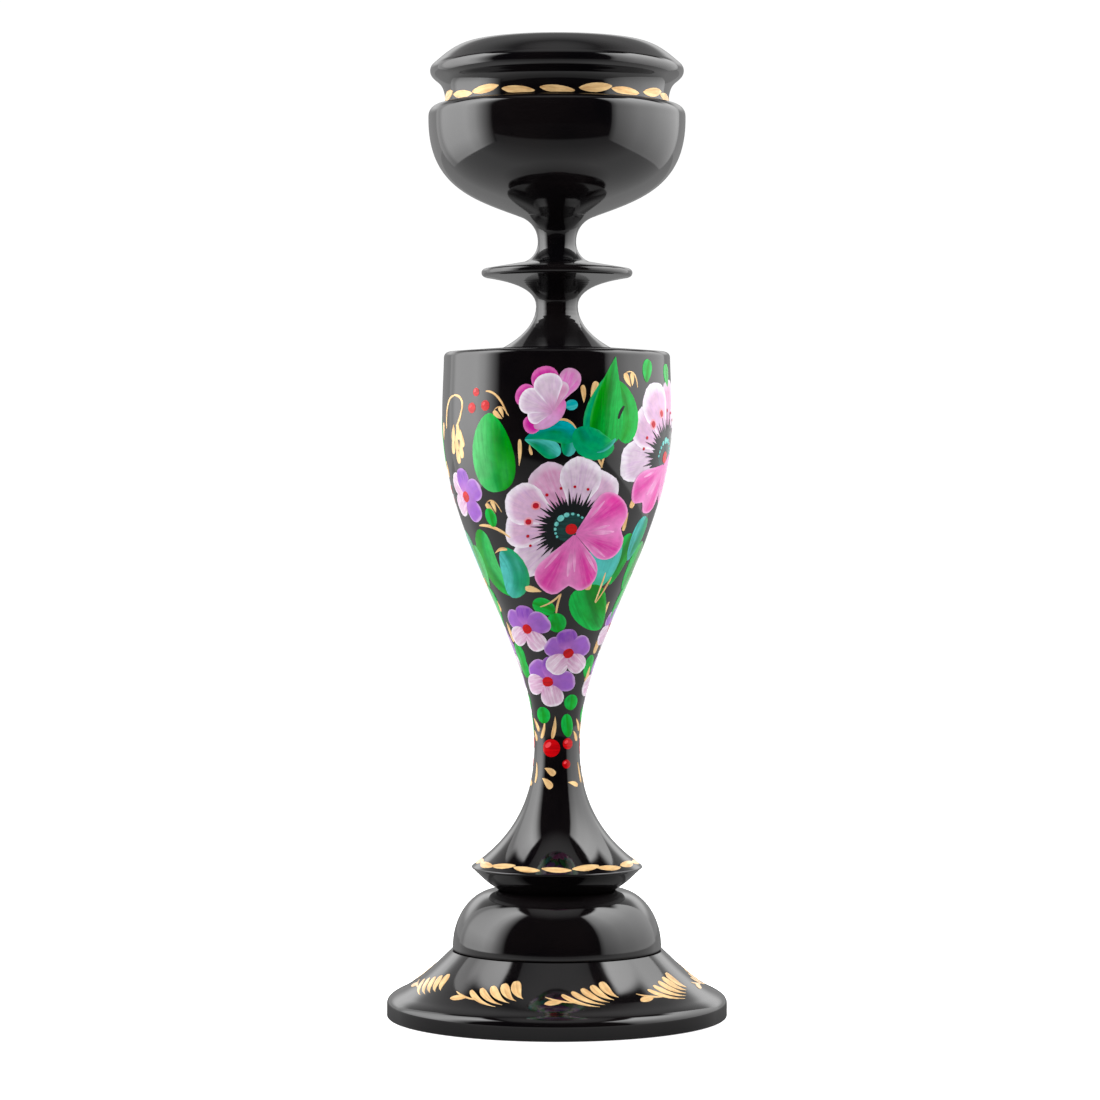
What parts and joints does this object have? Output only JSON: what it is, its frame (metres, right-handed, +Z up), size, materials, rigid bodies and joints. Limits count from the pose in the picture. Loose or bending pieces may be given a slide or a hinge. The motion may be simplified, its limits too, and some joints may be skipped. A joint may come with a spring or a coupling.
{
  "type": "painted wooden candlestick",
  "caption": "Tall turned wooden candlestick in black lacquer with painted folk flowers, a vase-shaped stem, a bowl and a brass cup for one candle.",
  "frame": {"origin": "centre of the surface it stands on, on the axis of turning, at the bottom of the felt pad", "axes": "+Z up along the axis of turning; +X to the right and -Y towards the viewer when the largest painted flower is seen square on"},
  "size_m": [0.098, 0.098, 0.28],
  "materials": {
    "black_lacquer": "high-gloss black lacquer over turned limewood",
    "paint_gold": "pale gold bronze paint under clear varnish",
    "paint_flower": "pink, magenta, lilac and white tempera strokes under clear varnish",
    "paint_leaf": "green and turquoise tempera strokes under clear varnish",
    "paint_berry": "red tempera dots under clear varnish",
    "brass": "satin turned brass",
    "steel": "zinc-plated steel",
    "felt": "dark green wool felt"
  },
  "bodies": {
    "root": {"felt_pad": "felt", "foot": "black_lacquer", "base_screw": "steel", "bun": "black_lacquer", "stem": "black_lacquer", "spool": "black_lacquer", "bowl": "black_lacquer", "drip_rim": "black_lacquer", "candle_cup": "brass", "cup_screw": "brass"}
  },
  "joints": []
}
